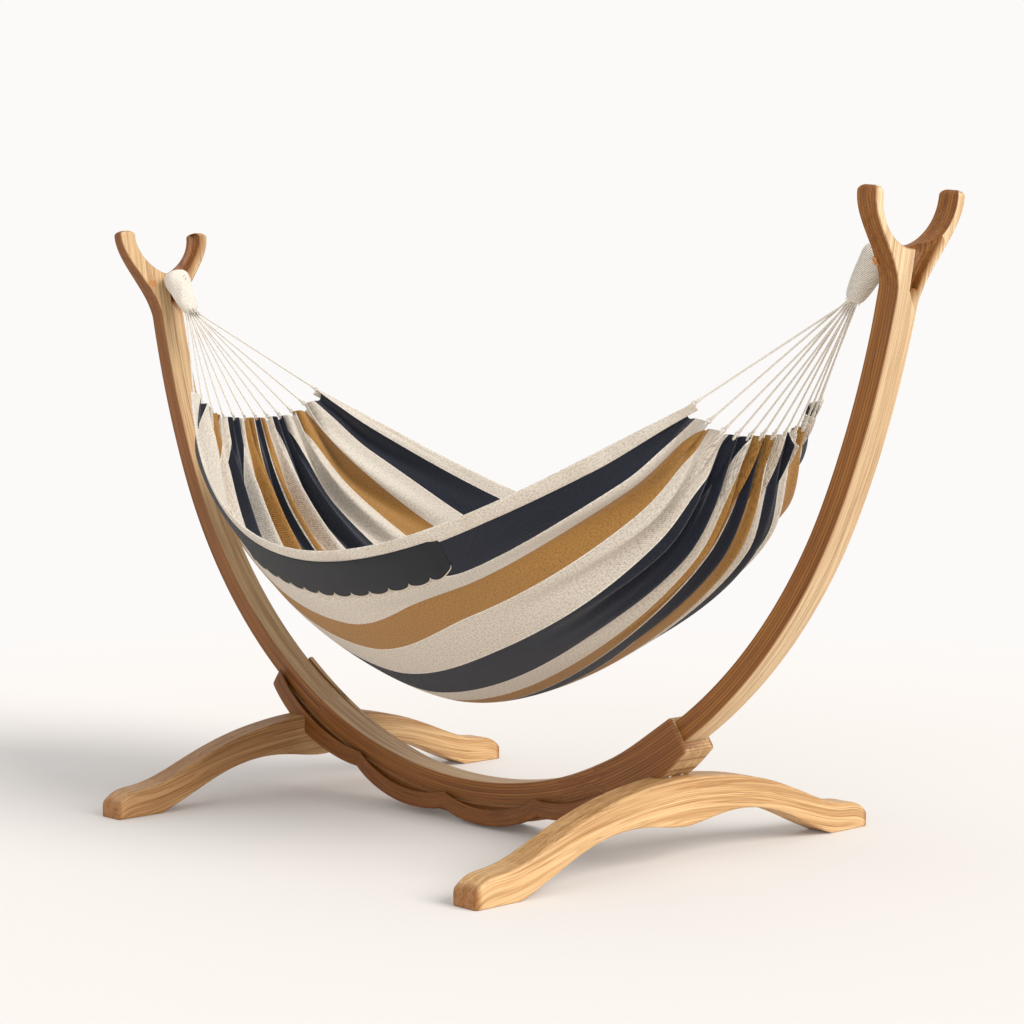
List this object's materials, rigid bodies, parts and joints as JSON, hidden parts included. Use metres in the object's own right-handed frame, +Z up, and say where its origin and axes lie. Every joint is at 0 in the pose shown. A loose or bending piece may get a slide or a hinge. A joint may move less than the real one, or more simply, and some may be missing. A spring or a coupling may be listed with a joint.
{
  "type": "hammock on stand",
  "caption": "Striped cotton hammock hung by corded ends from a bent-wood arc stand with forked arms, a scalloped base and two arched cross feet.",
  "frame": {"origin": "on the floor, under the middle of the stand", "axes": "+X along the hammock towards the socketed arm, +Y across it, +Z up"},
  "size_m": [2.793, 1.32, 1.534],
  "materials": {
    "oak": "oiled, satin",
    "oak_end_grain": "oiled, satin",
    "zinc_steel": "zinc plated",
    "striped_cloth": "woven cotton, striped",
    "cream_cloth": "woven cotton",
    "navy_cloth": "woven cotton",
    "cotton_cord": "twisted cotton cord",
    "cotton_twine": "wound cotton twine"
  },
  "bodies": {
    "stand": {"base_rail": "oak", "keel_strip": "oak", "front_apron": "oak", "rear_apron": "oak", "left_cheek": "oak", "right_socket": "oak", "left_arm_front": "oak", "left_arm_rear": "oak", "right_arm_front": "oak", "right_arm_rear": "oak", "left_foot": "oak", "right_foot": "oak", "fork_plugs": "oak_end_grain", "fork_screws": "zinc_steel", "left_hook": "zinc_steel", "right_hook": "zinc_steel", "foot_bolts": "zinc_steel", "foot_washers": "zinc_steel", "cross_dowels": "zinc_steel"},
    "hammock": {"bed_cloth": "striped_cloth", "front_hem": "cream_cloth", "rear_hem": "cream_cloth", "front_valance": "navy_cloth", "rear_valance": "navy_cloth", "left_whipping": "cotton_twine", "right_whipping": "cotton_twine", "left_eye": "cotton_twine", "right_eye": "cotton_twine", "left_tip_loops": "cotton_cord", "right_tip_loops": "cotton_cord", "right_cord_01": "cotton_cord", "right_cord_02": "cotton_cord", "right_cord_03": "cotton_cord", "right_cord_04": "cotton_cord", "right_cord_05": "cotton_cord", "right_cord_06": "cotton_cord", "right_cord_07": "cotton_cord", "right_cord_08": "cotton_cord", "right_cord_09": "cotton_cord", "right_cord_10": "cotton_cord", "right_cord_11": "cotton_cord", "right_cord_12": "cotton_cord", "left_cord_01": "cotton_cord", "left_cord_02": "cotton_cord", "left_cord_03": "cotton_cord", "left_cord_04": "cotton_cord", "left_cord_05": "cotton_cord", "left_cord_06": "cotton_cord", "left_cord_07": "cotton_cord", "left_cord_08": "cotton_cord", "left_cord_09": "cotton_cord", "left_cord_10": "cotton_cord", "left_cord_11": "cotton_cord", "left_cord_12": "cotton_cord"}
  },
  "joints": [
    {"name": "hammock_swing", "type": "hinge", "parent": "stand", "child": "hammock", "pos_m": [0, 0, 1.38], "axis": [1, 0, 0], "range_deg": [-40, 40]}
  ]
}
